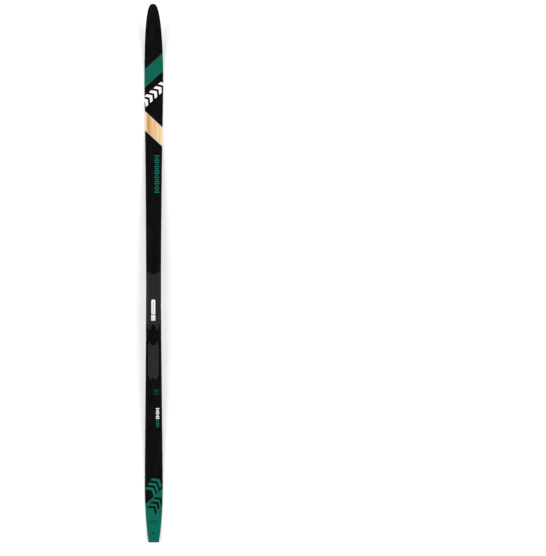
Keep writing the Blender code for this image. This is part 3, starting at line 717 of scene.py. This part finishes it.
def rounded_edges(piece, width):
    """Breaks the piece's sharp edges with a small round."""
    bpy.context.view_layer.objects.active = piece
    bevel = piece.modifiers.new("broken_edges", "BEVEL")
    bevel.width, bevel.segments = width, 2
    bevel.limit_method, bevel.angle_limit = "ANGLE", math.radians(32)
    bevel.use_clamp_overlap = True
    bpy.ops.object.modifier_apply(modifier=bevel.name)
    even_shading(piece, angle=40)


guard_plastic = moulded_plastic("guard_plastic_moulded", colour(20, 26, 25), colour(28, 34, 33), 0.0005,
                                colour(74, 80, 78), wear=0.8)
tail_guard = own_copy("tail_guard", "tail_guard_strip")
rounded_edges(tail_guard, 0.0003)
dress(tail_guard, guard_plastic, "guard_plastic", "tail_guard")

# ---------------------------------------------------------------- Binding plates
# Two moulded plates of grey glass-filled nylon that the binding slides on to, bedded in a film of
# black adhesive. The front one has a ridge between two channels, the rear one lengthwise lines.
adhesive, tree, shader = finish_of("adhesive_squeezed", Roughness=0.35)
lumps = streaked(tree, 500, 500, 4)
squeezed = blended(tree, spread(tree, lumps, 0.3, 0.7), colour(8, 8, 8), colour(22, 22, 22))
feed(tree, shader, Base_Color=squeezed)
relief(tree, shader, lumps, strength=0.5, distance=0.0001)
dress_cad("front_plate_bond", adhesive)
dress_cad("rear_plate_bond", adhesive)

plate_plastic = moulded_plastic("plate_plastic_moulded", colour(23, 23, 24), colour(31, 31, 32), 0.00045,
                                colour(64, 64, 66), gloss=(0.40, 0.56), wear=0.9)
for node, name in (("front_plate", "front_plate_moulding"), ("rear_plate", "rear_plate_moulding")):
    plate = own_copy(node, name)
    rounded_edges(plate, 0.00028)
    dress(plate, plate_plastic, "plate_plastic", node)

# ---------------------------------------------------------------- Plate labels
# Two white polyester labels set in shallow seats of the front plate: a scale of eight squares for
# the binding's position, and a small table of eight grey marks. The ink is printed on them.
LABEL_EDGE = 0.0001
SQUARE, SQUARE_PITCH, FIRST_SQUARE = 0.0027, 0.0049, 0.0090
MARK_WIDTH, MARK_LENGTH, MARK_PITCH, FIRST_MARK = 0.0028, 0.0019, 0.0047, 0.0028


def label_film(name, speck):
    """Satin white film with a faint paper tooth."""
    material, tree, shader = finish_of(name, Roughness=0.42, Coat_Weight=0.2, Coat_Roughness=0.2)
    clouds = spread(tree, streaked(tree, 120, 80, 4), 0.3, 0.7)
    white = blended(tree, clouds, colour(247, 247, 246), colour(252, 252, 252))
    dust = apply_effect(tree, settled_dust, Amount=0.08)["Mask"]
    worn = apply_effect(tree, worn_edges, Radius=0.0003, Amount=0.5)["Mask"]
    feed(tree, shader, Base_Color=blended(tree, maths(tree, "MAXIMUM", dust, worn), white, speck))
    relief(tree, shader, streaked(tree, 2400, 2400, 3), strength=0.15, distance=0.00004)
    return material


def front_station(node):
    """The station of a node's front end."""
    return tip_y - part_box(node)[1].y


label_white = label_film("label_white_film", colour(206, 206, 204))
label_black = lacquered("label_black_ink", mottled(colour(18, 18, 18), colour(28, 28, 28), 900, 900))
label_grey = lacquered("label_grey_ink", mottled(colour(112, 112, 112), colour(134, 134, 134), 900, 900))

scale_label = own_copy("scale_label", "scale_label_film")
scale_ink = ink_layer(scale_label, "scale_ink")
printed("scale_squares", scale_ink, label_black, "label_white", [
    stencil_bar(0, front_station("scale_label") + FIRST_SQUARE + step * SQUARE_PITCH, SQUARE, SQUARE,
                corner=0.0002)
    for step in range(8)])
bpy.data.objects.remove(scale_ink)
rounded_edges(scale_label, LABEL_EDGE)
dress(scale_label, label_white, "label_white", "scale_label")

size_label = own_copy("size_label", "size_label_film")
size_ink = ink_layer(size_label, "size_ink")
for name, x in (("size_marks_left", -0.0030), ("size_marks_right", 0.0035)):
    printed(name, size_ink, label_grey, "label_white", [
        stencil_bar(x, front_station("size_label") + FIRST_MARK + row * MARK_PITCH, MARK_WIDTH, MARK_LENGTH,
                    corner=0.0003)
        for row in range(4)])
bpy.data.objects.remove(size_ink)
rounded_edges(size_label, LABEL_EDGE)
dress(size_label, label_white, "label_white", "size_label")

# ---------------------------------------------------------------- Studio
# A plain pale floor that runs out of sight, a wide soft light from each side, and a dark ceiling, so
# that the black lacquer stays black from above. The camera looks straight down, tip at the top.
FLOOR_GAP = 0.0003

bpy.ops.object.select_all(action="DESELECT")
bpy.ops.mesh.primitive_plane_add(size=60, location=(0, 0, -FLOOR_GAP))
floor = bpy.context.active_object
floor.name = floor.data.name = "studio_floor"
floor_paper, tree, shader = finish_of("floor_paper", Roughness=0.9, Specular_IOR_Level=0.1,
                                      Emission_Strength=0.30)
paper = blended(tree, streaked(tree, 6, 6, 3), colour(246, 246, 246), colour(250, 250, 250))
feed(tree, shader, Base_Color=paper, Emission_Color=paper)
floor.data.materials.append(floor_paper)

for name, side in (("soft_light_left", -1), ("soft_light_right", 1)):
    light = bpy.data.lights.new(name, "SUN")
    light.energy, light.angle = 2.0, math.radians(55)
    soft_light = bpy.data.objects.new(name, light)
    bpy.context.scene.collection.objects.link(soft_light)
    soft_light.rotation_euler.y = side * math.radians(45)

world = bpy.data.worlds.new("studio_air")
bpy.context.scene.world = world
world.use_nodes = True
air = world.node_tree
direction = link_in(air, "ShaderNodeTexCoord").outputs["Generated"]
height = link_in(air, "ShaderNodeSeparateXYZ", direction).outputs["Z"]
brightness_at = link_in(air, "ShaderNodeValToRGB", height)
ramp = brightness_at.color_ramp
ramp.interpolation = "EASE"
for place, brightness in ((0.0, 1.0), (0.12, 0.86), (0.34, 0.32), (0.58, 0.05)):
    ramp.elements.new(place).color = (brightness, brightness, brightness, 1)
# the ramp's own two stops go, and the four above are left
ramp.elements.remove(ramp.elements[0])
ramp.elements.remove(ramp.elements[-1])
air.links.new(brightness_at.outputs["Color"], air.nodes["Background"].inputs["Color"])

# A long lens from far off, with the ski left of the middle and its ends just inside the picture
camera = bpy.data.objects.new("camera", bpy.data.cameras.new("camera"))
bpy.context.scene.collection.objects.link(camera)
camera.data.lens = 250
camera.location = (0.4110, -0.0138, 13.315)
bpy.context.scene.camera = camera
bpy.context.scene.view_settings.view_transform = "Standard"
